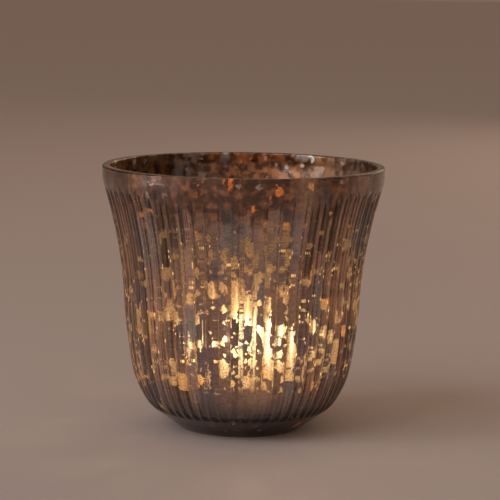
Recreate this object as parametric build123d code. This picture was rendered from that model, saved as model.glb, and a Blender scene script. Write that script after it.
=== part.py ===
from build123d import *

import math
import os

# Tealight holder: a flared glass cup with vertical flutes, silvered on its inside, and the tealight that
# stands in it.  Millimetres, +Z up.  The origin is the centre of the ring that the cup stands on.

# ---------------------------------------------------------------- driving dimensions

# glass cup
RIM_RADIUS = 45.0
CUP_HEIGHT = 84.4
WALL = 2.6
FLOOR_THICKNESS = 4.0
LIP_HEIGHT = 2.9  # the upright stretch at the top, lip included
LIP_CORNER = 0.6  # the lip is flat on top, with fire-polished corners
SEAT_FILLET = 4.0
FOOT_FILLET = 1.5
PUNT_RADIUS = 14.0  # the shallow hollow under the foot
PUNT_DEPTH = 0.8

# The outside of the wall, from the lip down, as arcs that run into one another: (radius, turn in degrees).
# A positive turn bends towards the axis.  A straight cone runs on from the last arc to the foot.
WALL_ARCS = [
    (11.4, 17.7),
    (146.0, -14.5),
    (170.0, 7.2),
    (30.7, 22.9),
    (12.1, 20.1),
]

# flutes
FLUTE_COUNT = 60
SECTOR_COUNT = 6  # the cup is cut as one sector with its share of the flutes, repeated round the axis
FLUTE_SHARE = 0.90  # the part of the pitch that one flute takes; the rest is the land beside it
FLUTE_TOOL_RADIUS = 3.4
FLUTE_TOOL_SHARE = 0.98  # the part of the pitch that the cutter is trimmed to, clear of the next one
# The cutter follows the wall past these heights, which are closer at the heel.
FLUTE_HEIGHTS = [74.0, 64.0, 53.0, 42.0, 31.0, 20.0, 12.5, 7.6]
RUNOUT_RADIUS = 8.0  # beyond the first and the last of them it bends away from the wall
RUNOUT_ANGLE = 50.0
FLUTE_PITCH = 360 / FLUTE_COUNT

# silvered film on the inside of the glass
FILM_GAP = 0.02
FILM_THICKNESS = 0.15
FILM_TOP = CUP_HEIGHT - LIP_CORNER

# tealight tin
TIN_RADIUS = 19.0
TIN_HEIGHT = 12.0
TIN_SHEET = 0.2
TIN_TAPER = 0.4
TIN_CORNER = 1.2
TIN_CURL_RADIUS = 0.55
TIN_CURL_ANGLE = 250.0
TIN_PANEL_RADIUS = 13.0
TIN_PANEL_RISE = 0.4
TIN_PANEL_FILLET = 0.3

# wax, clip and wick
WAX_GAP = 0.12
WAX_BELOW_RIM = 1.8
CLIP_RADIUS = 6.2
CLIP_SHEET = 0.25
CLIP_NECK_RADIUS = 1.3
CLIP_NECK_HEIGHT = 3.2
CLIP_FILLET = 0.5
WICK_RADIUS = 0.75
WICK_ABOVE_WAX = 7.0
WICK_LEAN_RADIUS = 9.0
EMBED_GAP = 0.03  # between the wax, the clip and the wick

# levels
REST_GAP = 0.03
TIN_BOTTOM = FLOOR_THICKNESS + FILM_GAP + FILM_THICKNESS + REST_GAP
TIN_TOP = TIN_BOTTOM + TIN_HEIGHT
PANEL_TOP = TIN_BOTTOM + TIN_PANEL_RISE + TIN_SHEET
CLIP_BOTTOM = PANEL_TOP + WAX_GAP
WAX_TOP = TIN_TOP - WAX_BELOW_RIM


# ---------------------------------------------------------------- helpers


def heading(angle):
    """The unit vector in the XZ plane at this angle in degrees, measured from +X towards +Z."""
    return Vector(math.cos(math.radians(angle)), 0, math.sin(math.radians(angle)))


def arc_from(start, angle, radius, turn):
    """An arc that leaves start at a heading and turns clockwise by turn degrees (the other way if negative)."""
    side = math.copysign(1, turn)
    centre = start + heading(angle - 90 * side) * radius
    middle = centre + heading(angle - turn / 2 + 90 * side) * radius
    end = centre + heading(angle - turn + 90 * side) * radius
    return ThreePointArc(start, middle, end)


def revolved(lines):
    """The solid that a closed outline in the XZ plane sweeps when it turns about Z."""
    edges = [edge for line in lines for edge in line.edges()]
    return revolve(Face(Wire(edges)), Axis.Z, 360)


def sector_prism(angle):
    """An upright prism, taller and wider than the cup, whose section is a sector of this angle about +X."""
    reach = 1.3 * RIM_RADIUS
    half_width = reach * math.tan(math.radians(angle / 2))
    section = make_face(Polyline((0, 0), (reach, -half_width), (reach, half_width), close=True))
    return Pos(0, 0, -CUP_HEIGHT / 2) * extrude(section, 2 * CUP_HEIGHT)


# ---------------------------------------------------------------- glass cup


def wall_outline(inset, top, bottom, fillet):
    """One face of the cup's wall, inset from the outside of the glass, from the height top down to a flat
    bottom that it meets in a fillet."""
    start = Vector(RIM_RADIUS - inset, 0, top)
    lip_end = Vector(RIM_RADIUS - inset, 0, CUP_HEIGHT - LIP_HEIGHT)
    edges = [Line(start, lip_end)]
    angle = -90.0
    for radius, turn in WALL_ARCS:
        shift = -inset if turn > 0 else inset
        edges.append(arc_from(edges[-1] @ 1, angle, radius + shift, turn))
        angle -= turn
    left_to_turn = 180 + angle
    cone_start = edges[-1] @ 1
    cone_drop = cone_start.Z - bottom - fillet * (1 - math.cos(math.radians(left_to_turn)))
    cone_length = cone_drop / math.sin(math.radians(left_to_turn))
    edges.append(Line(cone_start, cone_start + heading(angle) * cone_length))
    edges.append(arc_from(edges[-1] @ 1, angle, fillet, left_to_turn))
    return edges


def cup_blank():
    """The cup before its flutes are cut."""
    lip_start = CUP_HEIGHT - LIP_CORNER
    outside = wall_outline(0, lip_start, 0, FOOT_FILLET)
    inside = wall_outline(WALL, lip_start, FLOOR_THICKNESS, SEAT_FILLET)
    lip_inner = arc_from(inside[0] @ 0, 90, LIP_CORNER, 90)
    lip_outer = arc_from(outside[0] @ 0, 90, LIP_CORNER, -90)
    lip_top = Line(lip_inner @ 1, lip_outer @ 1)
    ring = Line(outside[-1] @ 1, (PUNT_RADIUS, 0, 0))
    punt_middle = (PUNT_RADIUS / 2, 0, PUNT_DEPTH * 3 / 4)  # a dome this flat rises as a parabola does
    punt_dome = ThreePointArc((PUNT_RADIUS, 0, 0), punt_middle, (0, 0, PUNT_DEPTH))
    axis = Line((0, 0, PUNT_DEPTH), (0, 0, FLOOR_THICKNESS))
    seat = Line((0, 0, FLOOR_THICKNESS), inside[-1] @ 1)
    return revolved([*outside, ring, punt_dome, axis, seat, *inside, lip_inner, lip_top, lip_outer])


def place_at_height(curve, height):
    """How far along a falling curve, from 0 to 1, it passes a height, by halving."""
    high = 0.0
    low = 1.0
    for _ in range(40):
        middle = (high + low) / 2
        if (curve @ middle).Z > height:
            high = middle
        else:
            low = middle
    return high


def flute_depth(radius):
    """How deep the round tool goes, so that a flute takes its share of the pitch at this radius."""
    half_width = FLUTE_SHARE * math.pi * radius / FLUTE_COUNT
    return FLUTE_TOOL_RADIUS - math.sqrt(FLUTE_TOOL_RADIUS**2 - half_width**2)


def flute_tool():
    """The round bar that cuts one flute: it follows the wall and bends away from it at both ends, which gives
    the flute its arched ends.  It is trimmed to its own sector, clear of the next flute's bar."""
    wall = Wire(wall_outline(0, CUP_HEIGHT - LIP_CORNER, 0, FOOT_FILLET))
    points = []
    for height in FLUTE_HEIGHTS:
        place = place_at_height(wall, height)
        along = wall % place
        outward = Vector(-along.Z, 0, along.X)
        depth = flute_depth((wall @ place).X)
        points.append(wall @ place + outward * (FLUTE_TOOL_RADIUS - depth))
    middle = Spline(*points)
    up = (middle % 0) * -1
    down = middle % 1
    up_angle = math.degrees(math.atan2(up.Z, up.X))
    down_angle = math.degrees(math.atan2(down.Z, down.X))
    top = arc_from(middle @ 0, up_angle, RUNOUT_RADIUS, RUNOUT_ANGLE)
    bottom = arc_from(middle @ 1, down_angle, RUNOUT_RADIUS, -RUNOUT_ANGLE)
    path = Wire([top, middle, bottom])
    section = Plane(origin=path @ 0, z_dir=path % 0) * Circle(FLUTE_TOOL_RADIUS)
    return sweep(section, path=path) & sector_prism(FLUTE_TOOL_SHARE * FLUTE_PITCH)


def glass_cup():
    per_sector = FLUTE_COUNT // SECTOR_COUNT
    first = -(per_sector - 1) / 2 * FLUTE_PITCH
    tool = flute_tool()
    tools = [Rot(0, 0, first + i * FLUTE_PITCH) * tool for i in range(per_sector)]
    sector = (cup_blank() & sector_prism(360 / SECTOR_COUNT)) - tools
    sectors = [Rot(0, 0, i * 360 / SECTOR_COUNT) * sector for i in range(SECTOR_COUNT)]
    return sectors[0] + sectors[1:]


def silver_coating():
    """The film: a thin shell along the inside of the glass, floor included, open at the top."""
    outer_inset = WALL + FILM_GAP
    inner_inset = outer_inset + FILM_THICKNESS
    floor = FLOOR_THICKNESS + FILM_GAP
    outside = wall_outline(outer_inset, FILM_TOP, floor, SEAT_FILLET)
    inside = wall_outline(inner_inset, FILM_TOP, floor + FILM_THICKNESS, SEAT_FILLET)
    edge = Line(inside[0] @ 0, outside[0] @ 0)
    under = Line(outside[-1] @ 1, (0, 0, floor))
    axis = Line((0, 0, floor), (0, 0, floor + FILM_THICKNESS))
    over = Line((0, 0, floor + FILM_THICKNESS), inside[-1] @ 1)
    return revolved([*outside, under, axis, over, *inside, edge])


# ---------------------------------------------------------------- tealight


def tin_wall_radius(height):
    """The outside radius of the tapered tin wall at a height."""
    return TIN_RADIUS - TIN_TAPER * (TIN_TOP - height) / TIN_HEIGHT


def tealight_tin():
    """A pressed cup with a raised panel in its base, a rounded corner, and a rim that rolls outwards."""
    curl_centre = Vector(TIN_RADIUS - TIN_SHEET + TIN_CURL_RADIUS, 0, TIN_TOP - TIN_CURL_RADIUS)
    roll_out = arc_from(curl_centre - (TIN_CURL_RADIUS, 0, 0), 90, TIN_CURL_RADIUS, TIN_CURL_ANGLE)
    inner_radius = TIN_CURL_RADIUS - TIN_SHEET
    end_direction = heading(180 - TIN_CURL_ANGLE)
    roll_end = Line(roll_out @ 1, curl_centre + end_direction * inner_radius)
    roll_back = arc_from(roll_end @ 1, 90 - TIN_CURL_ANGLE + 180, inner_radius, -TIN_CURL_ANGLE)

    corner_radius = tin_wall_radius(TIN_BOTTOM + TIN_CORNER)
    outer_wall = Line(roll_back @ 1, (corner_radius, 0, TIN_BOTTOM + TIN_CORNER))
    outer_corner = arc_from(outer_wall @ 1, -90, TIN_CORNER, 90)
    step = TIN_PANEL_RADIUS + TIN_PANEL_RISE
    under = FilletPolyline(
        outer_corner @ 1,
        (step, 0, TIN_BOTTOM),
        (TIN_PANEL_RADIUS, 0, TIN_BOTTOM + TIN_PANEL_RISE),
        (0, 0, TIN_BOTTOM + TIN_PANEL_RISE),
        radius=TIN_PANEL_FILLET,
    )
    axis = Line(under @ 1, (0, 0, PANEL_TOP))
    inner_corner_start = corner_radius - TIN_CORNER
    over = FilletPolyline(
        (0, 0, PANEL_TOP),
        (TIN_PANEL_RADIUS + TIN_SHEET / 2, 0, PANEL_TOP),
        (step + TIN_SHEET / 2, 0, TIN_BOTTOM + TIN_SHEET),
        (inner_corner_start, 0, TIN_BOTTOM + TIN_SHEET),
        radius=TIN_PANEL_FILLET,
    )
    inner_corner = arc_from(over @ 1, 0, TIN_CORNER - TIN_SHEET, -90)
    inner_wall = Line(inner_corner @ 1, roll_out @ 0)
    return revolved(
        [roll_out, roll_end, roll_back, outer_wall, outer_corner, under, axis, over, inner_corner, inner_wall]
    )


def wax():
    """The wax cake: it fills the tin but for a shrinkage gap, and has a pocket for the clip and the wick."""
    gap = TIN_SHEET + WAX_GAP
    base = TIN_BOTTOM + gap
    panel = CLIP_BOTTOM
    corner = TIN_BOTTOM + TIN_CORNER
    low_radius = tin_wall_radius(corner) - gap
    top_radius = tin_wall_radius(WAX_TOP) - gap
    step = TIN_PANEL_RADIUS + TIN_PANEL_RISE + gap
    disc = CLIP_RADIUS + EMBED_GAP
    neck = CLIP_NECK_RADIUS + EMBED_GAP
    bore = WICK_RADIUS + EMBED_GAP
    disc_top = CLIP_BOTTOM + CLIP_SHEET + EMBED_GAP
    neck_top = CLIP_BOTTOM + CLIP_NECK_HEIGHT + EMBED_GAP
    corner_arc = arc_from(Vector(low_radius, 0, corner), -90, TIN_CORNER - gap, 90)
    outline = Polyline(
        corner_arc @ 1,
        (step, 0, base),
        (step - TIN_PANEL_RISE, 0, panel),
        (disc, 0, panel),
        (disc, 0, disc_top),
        (neck + CLIP_FILLET, 0, disc_top),
        (neck, 0, disc_top + CLIP_FILLET),
        (neck, 0, neck_top),
        (bore, 0, neck_top),
        (bore, 0, WAX_TOP),
        (top_radius, 0, WAX_TOP),
        corner_arc @ 0,
    )
    return revolved([corner_arc, outline])


def wick_clip():
    """The clip: a thin disc with a neck that grips the wick."""
    bore = WICK_RADIUS + EMBED_GAP
    disc_top = CLIP_BOTTOM + CLIP_SHEET
    neck_top = CLIP_BOTTOM + CLIP_NECK_HEIGHT
    outline = Polyline(
        (bore, 0, CLIP_BOTTOM),
        (CLIP_RADIUS, 0, CLIP_BOTTOM),
        (CLIP_RADIUS, 0, disc_top),
        (CLIP_NECK_RADIUS + CLIP_FILLET, 0, disc_top),
        (CLIP_NECK_RADIUS, 0, disc_top + CLIP_FILLET),
        (CLIP_NECK_RADIUS, 0, neck_top),
        (bore, 0, neck_top),
        close=True,
    )
    return revolved([outline])


def wick():
    """The wick: upright in the wax, then leaning over to +X where it stands free."""
    foot = Vector(0, 0, CLIP_BOTTOM)
    stem = Line(foot, (0, 0, WAX_TOP + WICK_ABOVE_WAX / 3))
    lean_angle = math.degrees(WICK_ABOVE_WAX * 2 / 3 / WICK_LEAN_RADIUS)
    lean = arc_from(stem @ 1, 90, WICK_LEAN_RADIUS, lean_angle)
    return sweep(Plane(origin=foot) * Circle(WICK_RADIUS), path=Wire([stem, lean]))


# ---------------------------------------------------------------- output

SUB_PARTS = {
    "glass_cup": glass_cup,
    "silver_coating": silver_coating,
    "tealight_tin": tealight_tin,
    "wax": wax,
    "wick_clip": wick_clip,
    "wick": wick,
}

os.makedirs("parts", exist_ok=True)
for name, make in SUB_PARTS.items():
    export_step(make(), f"parts/{name}.step")
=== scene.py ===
import math
from types import SimpleNamespace

import bpy
from mathutils import Matrix, Vector


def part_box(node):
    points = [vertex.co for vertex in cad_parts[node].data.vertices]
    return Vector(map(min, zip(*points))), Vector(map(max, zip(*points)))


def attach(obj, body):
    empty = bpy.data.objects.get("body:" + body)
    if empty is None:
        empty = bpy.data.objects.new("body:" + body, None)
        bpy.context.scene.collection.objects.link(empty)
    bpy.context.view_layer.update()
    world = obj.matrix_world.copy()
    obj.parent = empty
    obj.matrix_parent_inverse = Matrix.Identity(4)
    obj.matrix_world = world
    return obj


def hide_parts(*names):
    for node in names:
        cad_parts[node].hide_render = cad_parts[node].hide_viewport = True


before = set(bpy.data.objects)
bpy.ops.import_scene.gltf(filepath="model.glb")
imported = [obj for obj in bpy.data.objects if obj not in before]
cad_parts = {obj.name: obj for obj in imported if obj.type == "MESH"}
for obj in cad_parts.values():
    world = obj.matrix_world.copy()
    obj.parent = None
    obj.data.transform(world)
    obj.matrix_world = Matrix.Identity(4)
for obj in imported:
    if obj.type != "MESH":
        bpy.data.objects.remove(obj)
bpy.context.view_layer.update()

# Looks of the tealight holder: a fluted glass cup silvered on its inside, and the lit tealight in it.
# Metres, +Z up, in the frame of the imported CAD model.

MM = 0.001

# ---------------------------------------------------------------- sizes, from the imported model

GLASS_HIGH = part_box("glass_cup")[1]
WAX_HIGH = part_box("wax")[1]
WICK_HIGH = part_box("wick")[1]

RIM_RADIUS = GLASS_HIGH.x
CUP_HEIGHT = GLASS_HIGH.z
WICK_RADIUS = WICK_HIGH.y
WICK_TIP = Vector((WICK_HIGH.x - WICK_RADIUS, 0, WICK_HIGH.z))
WAX_RADIUS = WAX_HIGH.x
WAX_TOP = WAX_HIGH.z

# The outside of the glass wall below the upright lip, as arcs that run into one another: (radius, turn in
# degrees), a positive turn bending towards the axis.  A straight cone runs on to the foot.
WALL_ARCS = [
    (11.4 * MM, 17.7),
    (146.0 * MM, -14.5),
    (170.0 * MM, 7.2),
    (30.7 * MM, 22.9),
    (12.1 * MM, 20.1),
]
LIP_HEIGHT = 2.9 * MM
WALL = 2.6 * MM
SEAT_FILLET = 4.0 * MM
SEAT_HEIGHT = 4.0 * MM
LIP_CORNER = 0.6 * MM
FILM_THICKNESS = 0.02 * MM
FILM_DEPTH = 0.06 * MM  # how deep the film's glass side sits in the wall, so that no air shows between them
FLUTE_COUNT = 60
FLUTE_PITCH = 2 * math.pi / FLUTE_COUNT
GLASS_IOR = 1.5

# where the film has worn most: the direction of one of its worst places, and how many there are
WORN_TOWARDS = math.radians(-94)
WORN_PLACES = 2

# the same for the flutes with dark strips high up, painted shade for windows onto the dim inside
STRIPS_TOWARDS = math.radians(-51)
STRIP_PLACES = 5

# the direction, seen from the cup, of the dark side of the room
DARK_SIDE = math.radians(-10)

# how many columns of faces the film is turned with
FILM_COLUMNS = 360

FLAME_FOOT = WICK_TIP.z - 3.0 * MM
FLAME_HEIGHT = 28.0 * MM
FLAME_RADIUS = 3.9 * MM

CAMERA_PLACE = Vector((2.35, -706.7, 153.2)) * MM
CAMERA_DOWN = math.radians(7.75)
CAMERA_ROLL = math.radians(0.75)
CAMERA_LENS = 160.4  # focal length in millimetres, on a sensor 36 mm wide


# ---------------------------------------------------------------- meshes


def new_object(name, vertices, faces):
    mesh = bpy.data.meshes.new(name)
    mesh.from_pydata([tuple(v) for v in vertices], [], faces)
    mesh.update()
    for face in mesh.polygons:
        face.use_smooth = True
    piece = bpy.data.objects.new(name, mesh)
    bpy.context.scene.collection.objects.link(piece)
    return piece


def upright(radius, angle, height):
    return Vector((radius * math.cos(angle), radius * math.sin(angle), height))


def lathe(name, outline, columns, bend=None):
    """A surface of revolution about Z from (radius, height) points.  An end on the axis is closed with a
    fan.  bend may move each point: it is given radius, angle and height, and returns a point."""
    if bend is None:
        bend = upright
    vertices = []
    rows = []
    for radius, height in outline:
        if radius == 0:
            rows.append([len(vertices)] * columns)
            vertices.append(bend(0, 0, height))
            continue
        rows.append(list(range(len(vertices), len(vertices) + columns)))
        for i in range(columns):
            vertices.append(bend(radius, 2 * math.pi * i / columns, height))
    faces = []
    for low, high in zip(rows, rows[1:]):
        for i in range(columns):
            j = (i + 1) % columns
            corners = [low[i], low[j], high[j], high[i]]
            face = [v for k, v in enumerate(corners) if v not in corners[:k]]  # a triangle beside the axis
            if len(face) > 2:
                faces.append(face)
    return new_object(name, vertices, faces)


def arc_points(centre, radius, start, turn, steps):
    """Points along an arc after its start: angles in degrees, turn positive clockwise."""
    points = []
    for k in range(1, steps + 1):
        a = math.radians(start - turn * k / steps)
        points.append((centre[0] + radius * math.cos(a), centre[1] + radius * math.sin(a)))
    return points


def film_outline(depth, step):
    """(radius, height) points along a surface that lies this deep in the glass, from the outer edge of the
    lip over its flat top, down the inside of the wall and along the seat to the axis."""
    inset = WALL - depth
    bottom = SEAT_HEIGHT - depth
    lip_radius = RIM_RADIUS - inset

    # over the lip and down its inner side
    corner = (lip_radius + LIP_CORNER - depth, CUP_HEIGHT - LIP_CORNER)
    points = [(RIM_RADIUS - LIP_CORNER, CUP_HEIGHT - depth), (corner[0], CUP_HEIGHT - depth)]
    points += arc_points(corner, LIP_CORNER - depth, 90, -90, 4)
    points.append((lip_radius, CUP_HEIGHT - LIP_HEIGHT))

    # down the curves of the wall
    heading = -90.0
    for radius, turn in WALL_ARCS:
        side = math.copysign(1, turn)
        bent = radius - inset * side
        normal = math.radians(heading - 90 * side)
        x, z = points[-1]
        centre = (x + bent * math.cos(normal), z + bent * math.sin(normal))
        steps = max(4, round(radius * abs(math.radians(turn)) / step))
        points += arc_points(centre, bent, heading + 90 * side, turn, steps)
        heading -= turn

    # down the straight cone, which is as long as the fillet leaves it
    left = 180 + heading
    x, z = points[-1]
    drop = z - bottom - SEAT_FILLET * (1 - math.cos(math.radians(left)))
    length = drop / math.sin(math.radians(left))
    direction = (math.cos(math.radians(heading)), math.sin(math.radians(heading)))
    steps = max(2, round(length / step))
    for k in range(1, steps + 1):
        points.append((x + direction[0] * length * k / steps, z + direction[1] * length * k / steps))

    # round the fillet and along the seat
    x, z = points[-1]
    normal = math.radians(heading - 90)
    centre = (x + SEAT_FILLET * math.cos(normal), z + SEAT_FILLET * math.sin(normal))
    points += arc_points(centre, SEAT_FILLET, heading + 90, left, 6)
    points.append((0, bottom))
    return points


# ---------------------------------------------------------------- materials


class Tree:
    """A material's or a group's node tree, with short calls for the nodes used here.  A value given to a
    call is a socket, which is linked, or a number or colour, which is set."""

    def __init__(self, tree):
        self.tree = tree
        tree.nodes.clear()

    def put(self, socket, value):
        if isinstance(value, bpy.types.NodeSocket):
            self.tree.links.new(value, socket)
        elif isinstance(value, tuple) and len(value) == 3 and socket.type == "RGBA":
            socket.default_value = (*value, 1.0)
        else:
            socket.default_value = value

    def node(self, kind, inputs=None, **settings):
        made = self.tree.nodes.new(kind)
        for key, value in settings.items():
            setattr(made, key, value)
        for key, value in (inputs or {}).items():
            self.put(made.inputs[key], value)
        return made

    def math(self, operation, a, b=0.0, c=0.0):
        return self.node("ShaderNodeMath", {0: a, 1: b, 2: c}, operation=operation).outputs[0]

    def times(self, *values):
        product = values[0]
        for value in values[1:]:
            product = self.math("MULTIPLY", product, value)
        return product

    def vector(self, operation, a, b):
        return self.node("ShaderNodeVectorMath", {0: a, 1: b}, operation=operation).outputs[0]

    def scaled(self, vector, factors):
        return self.vector("MULTIPLY", vector, factors)

    def step(self, value, low, high, to_low=0.0, to_high=1.0):
        """A smooth step: to_low below low, to_high above high.  low may be the greater of the two."""
        inputs = {"Value": value, "From Min": low, "From Max": high, "To Min": to_low, "To Max": to_high}
        return self.node("ShaderNodeMapRange", inputs, interpolation_type="SMOOTHSTEP").outputs["Result"]

    def noise_node(self, vector, scale, detail, roughness):
        inputs = {"Vector": vector, "Scale": scale, "Detail": detail, "Roughness": roughness}
        return self.node("ShaderNodeTexNoise", inputs)

    def noise(self, vector, scale, detail=2.0, roughness=0.5):
        return self.noise_node(vector, scale, detail, roughness).outputs["Fac"]

    def cells(self, vector, factors):
        """Irregular cells: the distance to the middle of the cell, and two random numbers of the cell."""
        made = self.node("ShaderNodeTexVoronoi", {"Vector": self.scaled(vector, factors), "Scale": 1.0})
        colour = self.node("ShaderNodeSeparateColor", {"Color": made.outputs["Color"]}).outputs
        return made.outputs["Distance"], colour["Red"], colour["Green"]

    def axis(self, vector, name):
        return self.node("ShaderNodeSeparateXYZ", {"Vector": vector}).outputs[name]

    def mix(self, factor, a, b, blend="MIX"):
        # sockets by number, because this node has others of the same names for other kinds of value
        made = self.node("ShaderNodeMix", data_type="RGBA", blend_type=blend)
        self.put(made.inputs[0], factor)
        self.put(made.inputs[6], a)
        self.put(made.inputs[7], b)
        return made.outputs[2]

    def ramp(self, factor, stops):
        made = self.node("ShaderNodeValToRGB", {"Fac": factor})
        elements = made.color_ramp.elements
        while len(elements) < len(stops):
            elements.new(0.5)
        for element, (position, colour) in zip(elements, stops):
            element.position = position
            element.color = (*colour, 1.0)
        return made.outputs["Color"]

    def bump(self, height, distance, normal=None):
        inputs = {"Height": height, "Distance": distance}
        if normal is not None:
            inputs["Normal"] = normal
        return self.node("ShaderNodeBump", inputs).outputs["Normal"]

    def shader(self, kind, inputs=None):
        return self.node("ShaderNode" + kind, inputs).outputs[0]

    def mix_shaders(self, factor, a, b):
        return self.node("ShaderNodeMixShader", {0: factor, 1: a, 2: b}).outputs[0]

    def output(self, surface):
        self.node("ShaderNodeOutputMaterial", {"Surface": surface})


def new_material(name):
    material = bpy.data.materials.new(name)
    material.use_nodes = True
    return material, Tree(material.node_tree)


def place_mm(t):
    """The place on the object, in millimetres."""
    place = t.node("ShaderNodeTexCoord").outputs["Object"]
    return t.scaled(place, (1 / MM, 1 / MM, 1 / MM))


def set_material(piece, *materials):
    for material in materials:
        piece.data.materials.append(material)


def paint_node(name, material):
    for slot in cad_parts[name].material_slots:
        slot.material = material


def make_glass():
    """Clear pressed glass: faintly warm, with the small dents and bubbles of cheap pressed ware.  Shadow
    rays pass straight through it, so that the lamps and the flame light what is behind it."""
    material, t = new_material("clear_pressed_glass")
    place = place_mm(t)
    dents = t.noise(place, 0.55, 3.0, 0.6)
    pits = t.noise(place, 2.6)
    glass = t.shader(
        "BsdfPrincipled",
        {
            "Base Color": (0.965, 0.955, 0.93),
            "Roughness": t.step(pits, 0.3, 0.8, 0.01, 0.06),
            "IOR": GLASS_IOR,
            "Transmission Weight": 1.0,
            "Normal": t.bump(pits, 0.008 * MM, t.bump(dents, 0.05 * MM)),
        },
    )
    clear = t.shader("BsdfTransparent", {"Color": (0.93, 0.92, 0.9)})
    t.output(t.mix_shaders(is_shadow_ray(t), glass, clear))
    return material


def is_shadow_ray(t):
    return t.node("ShaderNodeLightPath").outputs["Is Shadow Ray"]


def random_of(t, number, seed):
    """A random number from 0 to 1 for each whole number."""
    key = t.math("ADD", number, seed)
    return t.node("ShaderNodeTexWhiteNoise", {"W": key}, noise_dimensions="1D").outputs["Value"]


# How the film has worn.  Lengths are in millimetres here, as in place_mm, and heights are above the base.


def lobes(t, angle, towards, places, low, high):
    """0 to 1, largest in this direction and in the others that divide the turn evenly with it."""
    off = t.math("SUBTRACT", angle, towards)
    return t.step(t.math("COSINE", t.times(off, float(places))), low, high)


def film_spot(t, place):
    """What the rest of the wear is worked out from, at one place on the film."""
    height = t.axis(place, "Z")
    angle = t.math("ARCTAN2", t.axis(place, "Y"), t.axis(place, "X"))

    # which flute the place is behind, how far it is from the nearer ridge, from 0 to 0.5 of the pitch, and a
    # shift that gives each flute a pattern of its own
    turn = t.math("DIVIDE", angle, FLUTE_PITCH)
    flute = t.math("FLOOR", turn)
    across = t.math("SUBTRACT", turn, flute)
    from_ridge = t.math("SUBTRACT", 0.5, t.math("ABSOLUTE", t.math("SUBTRACT", across, 0.5)))
    shift = t.node("ShaderNodeCombineXYZ", {"Z": t.times(random_of(t, flute, 0.5), 90.0)}).outputs[0]

    # the place, moved about a little, which makes the edges of cells ragged
    wobble = t.noise_node(place, 0.9, 4.0, 0.75).outputs["Color"]
    wobble = t.scaled(t.vector("SUBTRACT", wobble, (0.5, 0.5, 0.5)), (2.8, 2.8, 2.8))
    warped = t.vector("ADD", place, wobble)

    # how worn the film is: little at the foot and at the top, most in patches and towards the worst places
    lobe = lobes(t, angle, WORN_TOWARDS, WORN_PLACES, 0.5, 1.0)
    patches = t.math("ADD", t.times(lobe, 0.2), t.noise(place, 0.075))
    low_part = t.step(height, 15.5, 19.5, 0.05, 1.0)
    top_part = t.step(height, 76.0, 56.0, 0.03, 1.0)
    wear = t.times(low_part, top_part, t.step(patches, 0.40, 0.68, 0.25, 1.1))
    return SimpleNamespace(
        place=place,
        height=height,
        flute=flute,
        from_ridge=from_ridge,
        shift=shift,
        warped=warped,
        lobe=lobe,
        wear=wear,
    )


def flaked_holes(t, at):
    """Ragged cells of several sizes, the large ones different in each flute."""
    in_flute = t.vector("ADD", at.warped, at.shift)

    # the small ones gather under the rim too, in places on the most worn sides
    rim_patches = t.step(t.noise(at.place, 0.1), 0.48, 0.55, 0.0, 1.6)
    with_rim = t.math("ADD", at.wear, t.times(t.step(at.height, 74.0, 78.0), rim_patches, at.lobe))

    layers = (
        # place, size, how much taller than wide, how worn the film is, and the share open where that is 1
        (in_flute, 6.0, 1.6, at.wear, 0.60),
        (in_flute, 3.4, 1.3, at.wear, 0.50),
        (at.warped, 2.6, 1.0, with_rim, 0.26),
        (at.warped, 1.2, 1.0, with_rim, 0.20),
    )
    hole = 0.0
    for where, size, stretch, wear, share_open in layers:
        distance, chance, size_chance = t.cells(where, (1 / size, 1 / size, 1 / (size * stretch)))
        is_open = t.math("LESS_THAN", chance, t.times(wear, share_open))
        depth = t.math("SUBTRACT", t.step(size_chance, 0.0, 1.0, 0.3, 0.6), distance)
        hole = t.math("MAXIMUM", hole, t.times(t.step(depth, 0.0, 0.05), is_open))

    # silver that has stayed on the ridges
    bridges = t.noise(t.scaled(at.place, (1.0, 1.0, 0.35)), 1.5, 2.0, 0.6)
    keep = t.times(t.step(at.from_ridge, 0.1, 0.05), t.step(bridges, 0.44, 0.5))
    return t.times(hole, t.math("SUBTRACT", 1.0, keep))


def ridge_lines(t, at):
    """Worn lines that run down beside some ridges."""
    line = t.times(t.step(at.from_ridge, 0.14, 0.10), t.step(at.from_ridge, 0.01, 0.03))
    chosen = t.step(random_of(t, at.flute, 7.5), 0.25, 0.3)
    broken = t.step(t.noise(t.scaled(at.place, (1.0, 1.0, 0.16)), 1.4, 4.0, 0.7), 0.45, 0.50)
    return t.times(line, chosen, broken, at.wear)


def pinholes(t, at):
    """Sparks: pinholes along the ridges, here and there in swarms, fewer where the large holes are."""
    distance, chance = t.cells(at.place, (1.25, 1.25, 0.6))[:2]
    swarm = t.step(t.noise(at.place, 0.16), 0.42, 0.62, 0.03, 0.28)
    thinned = t.math("SUBTRACT", 1.0, t.times(at.lobe, 0.7))
    near_ridge = t.step(at.from_ridge, 0.30, 0.18, 0.1, 1.0)
    picked = t.math("LESS_THAN", chance, t.times(swarm, thinned, near_ridge))
    round_hole = t.step(distance, 0.42, 0.3)
    return t.times(picked, round_hole, t.step(at.height, 14.0, 20.0), t.step(at.height, 74.0, 66.0))


def painted_shade_strips(t, at):
    """Painted shade high up in a few neighbouring flutes, arched like the flutes' own ends: dark strips in
    place of windows onto the dim inside.
    """
    middle = t.times(t.math("ADD", at.flute, 0.5), FLUTE_PITCH)
    near = lobes(t, middle, STRIPS_TOWARDS, STRIP_PLACES, 0.55, 0.75)
    chosen = t.math("GREATER_THAN", random_of(t, at.flute, 9.5), 0.2)
    narrowing = t.step(at.height, 72.0, 80.0, 0.19, 0.5)
    strip = t.step(t.math("SUBTRACT", at.from_ridge, narrowing), -0.02, 0.05)
    torn = t.times(t.noise(at.place, 0.8, 3.0, 0.7), 8.0)
    sill = t.math("MULTIPLY_ADD", random_of(t, at.flute, 5.5), 14.0, 56.0)
    above_sill = t.step(t.math("SUBTRACT", t.math("ADD", at.height, torn), sill), 0.0, 3.0)
    return t.times(strip, above_sill, near, chosen, t.step(at.height, 80.0, 79.0))


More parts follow.
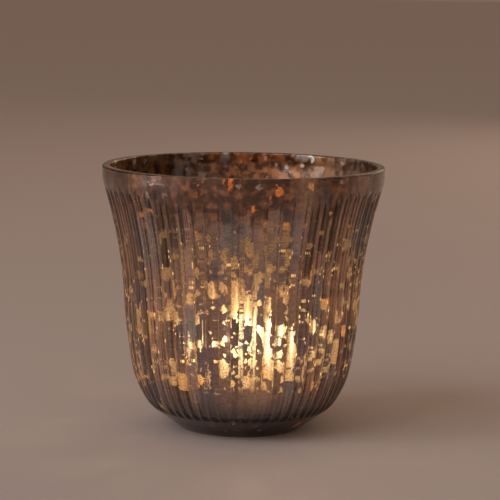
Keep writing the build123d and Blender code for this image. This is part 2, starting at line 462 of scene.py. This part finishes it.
def pale_flecks(t, at):
    """Pale scales of film that stand off under the rim."""
    distance, _, chance = t.cells(at.warped, (0.45, 0.45, 0.5))
    ragged = t.math("ADD", distance, t.noise(at.place, 1.6, 3.0, 0.7))
    picked = t.math("LESS_THAN", chance, 0.07)
    return t.times(picked, t.step(ragged, 1.0, 0.8), t.step(at.height, 75.0, 78.0))


def brown_tarnish_and_foot_shade(t, at):
    """Strong in a ragged band under the rim and in patches below it, and brown at the foot too, which is
    painted shade.
    """
    ragged = t.noise(t.scaled(at.place, (1.0, 1.0, 0.4)), 0.24, 4.0, 0.65)
    rim_edge = t.math("SUBTRACT", at.height, t.times(ragged, 30.0))
    spread = t.noise(t.scaled(at.place, (1.0, 1.0, 0.5)), 0.055)
    spread = t.math("ADD", spread, t.times(at.lobe, 0.35))
    rim_band = t.times(t.step(rim_edge, 53.0, 60.0), t.step(spread, 0.44, 0.72, 0.3, 1.0))
    patches = t.step(ragged, 0.52, 0.72, 0.0, 0.5)
    # painted shade: the film is browned at the foot for the shade that falls there
    foot = t.step(at.height, 10.0, 4.0)
    return t.math("MAXIMUM", t.math("MAXIMUM", rim_band, patches), foot)


def flute_panels(t, at):
    """A shade that differs from flute to flute and varies slowly along each."""
    own = random_of(t, at.flute, 3.5)
    slow = t.noise(t.scaled(t.vector("ADD", at.place, at.shift), (0.4, 0.4, 0.07)), 1.0)
    return t.math("ADD", t.times(own, 0.6), t.times(slow, 0.4))


def flake_group():
    """A node group that gives the wear at a place.  Hole: 1 where the silver is gone.  Spark: 1 in a
    pinhole, whose haze is near white, a painted glint.  Veil: how much golden haze is left in a hole.
    Tarnish: 1 where the film is brown, from tarnish and, at the foot, from painted shade.  Bare: 1 on
    the dark strips of painted shade high up.  Fleck: 1 on a pale scale.  Tone and Panel vary slowly, from 0
    to 1."""
    group = bpy.data.node_groups.new("worn_silver", "ShaderNodeTree")
    t = Tree(group)
    group.interface.new_socket("Place", in_out="INPUT", socket_type="NodeSocketVector")
    at = film_spot(t, t.node("NodeGroupInput").outputs["Place"])
    spark = pinholes(t, at)
    hole = t.math("MAXIMUM", flaked_holes(t, at), ridge_lines(t, at))
    veil = t.step(t.noise(at.place, 1.9, 3.0, 0.65), 0.36, 0.68, 0.35, 0.85)
    results = {
        "Hole": t.math("MAXIMUM", hole, spark),
        "Spark": spark,
        "Veil": t.math("MAXIMUM", veil, spark),
        "Tarnish_and_foot_shade": brown_tarnish_and_foot_shade(t, at),
        "Painted_shade_strip": painted_shade_strips(t, at),
        "Fleck": pale_flecks(t, at),
        "Tone": t.noise(t.scaled(at.place, (1.0, 1.0, 0.35)), 0.12),
        "Panel": flute_panels(t, at),
    }
    for name in results:
        group.interface.new_socket(name, in_out="OUTPUT", socket_type="NodeSocketFloat")
    t.node("NodeGroupOutput", results)
    return group


def glass_side_colour(t, worn, place, fine, blotch):
    """Dim silver that turns from cool to rosy to warm, darker at the foot as painted shade for the shaded
    floor it reflects, over a dark to coppery brown.
    """
    cool = (0.59, 0.545, 0.53)
    rosy = (0.71, 0.50, 0.435)
    warm = (0.86, 0.585, 0.40)
    plain = t.ramp(worn["Tone"], [(0.36, cool), (0.47, rosy), (0.6, warm)])
    plain = t.mix(t.step(worn["Panel"], 0.2, 0.8), plain, (0.50, 0.50, 0.54), "MULTIPLY")
    plain = t.mix(t.step(fine, 0.56, 0.34), plain, (0.72, 0.69, 0.67), "MULTIPLY")
    # painted shade: darker towards the foot, for the shaded floor that the silver reflects there
    plain = t.mix(t.step(t.axis(place, "Z"), 17.0, 8.0), plain, (0.22, 0.18, 0.17))
    dark = (0.06, 0.022, 0.009)
    brown = (0.22, 0.085, 0.034)
    coppery = (0.60, 0.30, 0.14)
    return plain, t.ramp(blotch, [(0.42, dark), (0.54, brown), (0.70, coppery)])


def inner_side_colour(t, worn, blotch):
    """Dull old gold, over a brown with blue-grey and orange patches."""
    plain = t.mix(t.step(blotch, 0.35, 0.65), (0.13, 0.07, 0.038), (0.32, 0.18, 0.095))
    blue_grey = (0.34, 0.36, 0.38)
    brown = (0.20, 0.10, 0.06)
    orange = (0.46, 0.19, 0.07)
    patch = t.ramp(worn["Tone"], [(0.42, blue_grey), (0.50, brown), (0.60, orange)])
    return plain, t.mix(t.step(blotch, 0.40, 0.60), (0.07, 0.030, 0.016), patch)


def hole_shader(t, worn):
    """What is left in a hole: clear glass under a golden haze of varying thickness, lit by the flame."""
    colour = t.mix(worn["Tarnish_and_foot_shade"], (0.40, 0.29, 0.19), (1.0, 0.42, 0.11))
    # painted glint: the haze in a pinhole is near white, standing in for flame light that the ridges focus;
    # the pinholes themselves are worn film
    colour = t.mix(worn["Spark"], colour, (1.0, 0.86, 0.55))
    haze = t.shader("BsdfTranslucent", {"Color": colour})
    glow = t.shader("BsdfRefraction", {"Color": (1.0, 0.98, 0.92), "Roughness": 0.62, "IOR": GLASS_IOR})
    haze = t.mix_shaders(0.21, haze, glow)
    clear = t.shader("BsdfTransparent", {"Color": (1.0, 0.95, 0.86)})
    lets_pass = t.math("SUBTRACT", 1.0, t.times(is_shadow_ray(t), 0.8))
    return t.mix_shaders(t.times(worn["Veil"], lets_pass), clear, haze)


def make_silver(group, name, toward_glass):
    """The silvered film.  Its glass side is a dim mirror; its inner side is duller and more golden."""
    material, t = new_material(name)
    place = place_mm(t)
    worn = t.node("ShaderNodeGroup", {"Place": place}, node_tree=group).outputs
    fine = t.noise(place, 1.4, 4.0, 0.65)
    blotch = t.noise(place, 0.34, 3.0, 0.55)
    if toward_glass:
        plain, brown = glass_side_colour(t, worn, place, fine, blotch)
        least_rough = 0.10
    else:
        plain, brown = inner_side_colour(t, worn, blotch)
        least_rough = 0.28
    colour = t.mix(t.times(worn["Tarnish_and_foot_shade"], 0.85), plain, brown)
    # painted shade: the dark strips high up stand for windows onto the dim inside
    colour = t.mix(t.times(worn["Painted_shade_strip"], 0.8), colour, (0.13, 0.075, 0.04))
    colour = t.mix(t.times(worn["Fleck"], 0.8), colour, (0.72, 0.77, 0.80))
    metal = t.shader(
        "BsdfPrincipled",
        {
            "Base Color": colour,
            "Metallic": 1.0,
            "Roughness": t.step(fine, 0.3, 0.75, least_rough, least_rough + 0.16),
            "Normal": t.bump(fine, 0.008 * MM),
        },
    )
    t.output(t.mix_shaders(worn["Hole"], metal, hole_shader(t, worn)))
    return material


def make_aluminium():
    """Thin pressed foil: bright, with faint vertical drawing marks and soft handling dents."""
    material, t = new_material("pressed_aluminium")
    place = place_mm(t)
    drawn = t.noise(t.scaled(place, (3.0, 3.0, 0.15)), 1.0, 3.0, 0.6)
    dents = t.noise(place, 0.25)
    shader = t.shader(
        "BsdfPrincipled",
        {
            "Base Color": t.mix(drawn, (0.72, 0.71, 0.70), (0.86, 0.85, 0.83)),
            "Metallic": 1.0,
            "Roughness": t.step(drawn, 0.2, 0.8, 0.2, 0.38),
            "Normal": t.bump(drawn, 0.02 * MM, t.bump(dents, 0.3 * MM)),
        },
    )
    t.output(shader)
    return material


def make_wax():
    """Warm white paraffin, soft at the rim and wet on top."""
    material, t = new_material("warm_paraffin")
    place = place_mm(t)
    cloud = t.noise(place, 0.3, 3.0, 0.6)
    grain = t.noise(place, 2.0)
    shader = t.shader(
        "BsdfPrincipled",
        {
            "Base Color": t.mix(cloud, (0.84, 0.73, 0.55), (0.90, 0.84, 0.70)),
            "Roughness": t.step(grain, 0.3, 0.7, 0.22, 0.4),
            "Subsurface Weight": 0.6,
            "Subsurface Radius": (1.0, 0.55, 0.3),
            "Subsurface Scale": 3.0 * MM,
            "Normal": t.bump(grain, 0.04 * MM),
        },
    )
    t.output(shader)
    return material


def make_melt():
    """Liquid wax: clear, faintly golden and very smooth."""
    material, t = new_material("liquid_paraffin")
    ripple = t.noise(place_mm(t), 0.2)
    shader = t.shader(
        "BsdfPrincipled",
        {
            "Base Color": t.mix(ripple, (0.78, 0.62, 0.38), (0.88, 0.76, 0.54)),
            "Roughness": 0.04,
            "IOR": 1.44,
            "Subsurface Weight": 0.8,
            "Subsurface Radius": (1.0, 0.6, 0.3),
            "Subsurface Scale": 4.0 * MM,
            "Normal": t.bump(ripple, 0.3 * MM),
        },
    )
    t.output(shader)
    return material


def make_wick():
    """Braided cotton, charred black at the tip and wax-soaked lower down."""
    material, t = new_material("charred_cotton")
    place = place_mm(t)
    height = t.axis(place, "Z")
    strands = t.noise(t.scaled(place, (1.0, 1.0, 0.5)), 4.0, 3.0, 0.6)
    wax_mm = WAX_TOP / MM
    tip_mm = WICK_TIP.z / MM
    charred = t.step(height, wax_mm + 0.8, wax_mm + 2.5)
    cotton = t.mix(strands, (0.42, 0.34, 0.22), (0.72, 0.62, 0.45))
    char = t.mix(strands, (0.008, 0.007, 0.006), (0.035, 0.028, 0.024))
    ember = t.step(height, tip_mm - 1.6, tip_mm)
    shader = t.shader(
        "BsdfPrincipled",
        {
            "Base Color": t.mix(charred, cotton, char),
            "Roughness": t.step(strands, 0.3, 0.7, 0.75, 0.95),
            "Normal": t.bump(strands, 0.15 * MM),
            "Emission Color": (1.0, 0.16, 0.02),
            "Emission Strength": t.times(ember, 6.0),
        },
    )
    t.output(shader)
    return material


def make_clip():
    """Tinned sheet steel with stamping marks."""
    material, t = new_material("tinned_steel")
    scuffs = t.noise(t.scaled(place_mm(t), (4.0, 0.6, 1.0)), 1.0, 4.0, 0.65)
    shader = t.shader(
        "BsdfPrincipled",
        {
            "Base Color": t.mix(scuffs, (0.42, 0.41, 0.39), (0.66, 0.65, 0.62)),
            "Metallic": 1.0,
            "Roughness": t.step(scuffs, 0.2, 0.8, 0.2, 0.45),
            "Normal": t.bump(scuffs, 0.03 * MM),
        },
    )
    t.output(shader)
    return material


def make_flame():
    """The flame: clear and bluish at its foot, white-yellow in the middle and orange at the tip."""
    material, t = new_material("candle_flame")
    height = t.axis(t.node("ShaderNodeTexCoord").outputs["Object"], "Z")
    along = t.math("DIVIDE", t.math("SUBTRACT", height, FLAME_FOOT), FLAME_HEIGHT)
    facing = t.node("ShaderNodeLayerWeight", {"Blend": 0.35}).outputs["Facing"]
    stops = [
        (0.0, (0.10, 0.16, 0.9)),
        (0.09, (0.9, 0.46, 0.14)),
        (0.35, (1.0, 0.72, 0.30)),
        (0.7, (1.0, 0.60, 0.18)),
        (1.0, (1.0, 0.33, 0.04)),
    ]
    glow = t.shader("Emission", {"Color": t.ramp(along, stops), "Strength": 6.0})
    clear = t.shader("BsdfTransparent")
    solid = t.times(t.step(along, 0.0, 0.16, 0.15, 0.95), t.step(facing, 0.95, 0.35))
    t.output(t.mix_shaders(solid, clear, glow))
    material.cycles.emission_sampling = "NONE"
    return material


# ---------------------------------------------------------------- pieces


def make_lining(group):
    """The silvered film as a closed shell just inside the glass, with its own material on each side."""
    step = 1.5 * MM
    outside = film_outline(FILM_DEPTH, step)
    inside = film_outline(FILM_DEPTH - FILM_THICKNESS, step)
    lining = lathe("flaked_silver_lining", [*reversed(outside), *inside], FILM_COLUMNS)
    glass_side = make_silver(group, "silver_glass_side", True)
    inner_side = make_silver(group, "silver_inner_side", False)
    set_material(lining, glass_side, inner_side)
    glass_side_faces = FILM_COLUMNS * (len(outside) - 1)
    for face in lining.data.polygons:
        face.material_index = 0 if face.index < glass_side_faces else 1
    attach(lining, "holder")
    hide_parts("silver_coating")


def make_flame_piece():
    """A teardrop round the wick's tip, leaning a little with it."""
    outline = []
    steps = 26
    for k in range(steps + 1):
        s = k / steps
        radius = FLAME_RADIUS * math.sin(math.pi * s**0.62) ** 0.85 * (1 - 0.35 * s)
        outline.append((radius if 0 < k < steps else 0, FLAME_FOOT + FLAME_HEIGHT * s))

    def bend(radius, angle, height):
        s = (height - FLAME_FOOT) / FLAME_HEIGHT
        centre = WICK_TIP.x * (0.6 + 0.4 * s) + 0.5 * MM * math.sin(3 * s)
        return Vector((centre + radius * math.cos(angle), radius * math.sin(angle), height))

    flame = lathe("candle_flame", outline, 32, bend)
    set_material(flame, make_flame())
    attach(flame, "candle")
    flame.visible_diffuse = False
    flame.visible_shadow = False


def make_pool():
    """The melted top of the candle: a film of liquid wax that climbs a little at the tin and at the wick."""
    outline = [(0, WAX_TOP + 0.9 * MM)]
    edge = WAX_RADIUS - 0.1 * MM
    steps = 24
    for k in range(1, steps + 1):
        radius = edge * k / steps
        at_wick = 0.9 * MM * math.exp(-radius / (1.2 * MM))
        at_tin = 0.5 * MM * math.exp(-(edge - radius) / (0.8 * MM))
        outline.append((radius, WAX_TOP + 0.02 * MM + at_wick + at_tin))
    outline.append((edge, WAX_TOP - 0.8 * MM))
    outline.append((0, WAX_TOP - 0.8 * MM))
    pool = lathe("melted_wax", outline, 96)
    set_material(pool, make_melt())
    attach(pool, "candle")


# ---------------------------------------------------------------- stage


def make_floor():
    material, t = new_material("pale_floor")
    t.output(t.shader("BsdfPrincipled", {"Base Color": (0.58, 0.52, 0.49), "Roughness": 0.7}))
    far = 6.0
    corners = [(-far, -far, 0), (far, -far, 0), (far, far, 0), (-far, far, 0)]
    floor = new_object("floor", corners, [(0, 1, 2, 3)])
    set_material(floor, material)


def add_area(name, place, size, power, colour):
    """A soft box that faces the cup."""
    lamp = bpy.data.lights.new(name, "AREA")
    lamp.shape = "RECTANGLE"
    lamp.size, lamp.size_y = size
    lamp.energy = power
    lamp.color = colour
    soft_box = bpy.data.objects.new(name, lamp)
    soft_box.location = place
    aim = Vector((0, 0, CUP_HEIGHT / 2))
    soft_box.rotation_euler = (aim - Vector(place)).to_track_quat("-Z", "Y").to_euler()
    soft_box.visible_camera = False
    bpy.context.scene.collection.objects.link(soft_box)


def light_scene():
    world = bpy.data.worlds.new("studio")
    bpy.context.scene.world = world
    world.use_nodes = True
    t = Tree(world.node_tree)
    # lightest in front of the cup, dimmer behind it, and dark to its right, which gives the flutes depth
    direction = t.node("ShaderNodeTexCoord").outputs["Generated"]
    colour = t.mix(t.step(t.axis(direction, "Y"), -0.2, 0.4), (0.48, 0.345, 0.28), (0.26, 0.175, 0.13))
    right = (math.cos(DARK_SIDE), math.sin(DARK_SIDE), 0.0)
    dot = t.node("ShaderNodeVectorMath", {0: direction, 1: right}, operation="DOT_PRODUCT")
    rightness = dot.outputs["Value"]
    colour = t.mix(t.step(rightness, 0.70, 0.88), colour, (0.035, 0.022, 0.014))
    background = t.shader("Background", {"Color": colour, "Strength": 0.8})
    t.node("ShaderNodeOutputWorld", {"Surface": background})
    add_area("soft_key", (-0.7, -0.5, 0.9), (0.8, 0.8), 3.2, (0.88, 0.92, 1.0))
    add_area("warm_back", (0.6, 0.9, 0.5), (0.8, 0.8), 1.7, (1.0, 0.72, 0.5))
    add_area("left_strip", (-0.85, -0.25, 0.25), (0.16, 0.7), 1.3, (1.0, 0.82, 0.72))


def add_flame_lamp():
    """The light of the flame, which moves with the candle."""
    lamp = bpy.data.lights.new("flame_lamp", "POINT")
    lamp.energy = 0.046
    lamp.color = (1.0, 0.76, 0.47)
    lamp.shadow_soft_size = 3.0 * MM
    flame_lamp = bpy.data.objects.new("flame_lamp", lamp)
    flame_lamp.location = (WICK_TIP.x, 0, FLAME_FOOT + 0.52 * FLAME_HEIGHT)
    flame_lamp.visible_camera = False
    bpy.context.scene.collection.objects.link(flame_lamp)
    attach(flame_lamp, "candle")


def add_camera():
    """The camera stands in front, a little above the rim, and is rolled slightly."""
    camera_data = bpy.data.cameras.new("camera")
    camera_data.sensor_width = 36.0
    camera_data.lens = CAMERA_LENS
    camera = bpy.data.objects.new("camera", camera_data)
    tilt = Matrix.Rotation(math.radians(90) - CAMERA_DOWN, 4, "X")
    roll = Matrix.Rotation(CAMERA_ROLL, 4, "Z")
    camera.matrix_world = Matrix.Translation(CAMERA_PLACE) @ tilt @ roll
    bpy.context.scene.collection.objects.link(camera)
    bpy.context.scene.camera = camera


paint_node("glass_cup", make_glass())
paint_node("tealight_tin", make_aluminium())
paint_node("wax", make_wax())
paint_node("wick", make_wick())
paint_node("wick_clip", make_clip())
worn_silver = flake_group()
make_lining(worn_silver)
make_pool()
make_flame_piece()
make_floor()
light_scene()
add_flame_lamp()
add_camera()
bpy.context.scene.view_settings.view_transform = "Standard"
bpy.context.scene.cycles.transparent_max_bounces = 24
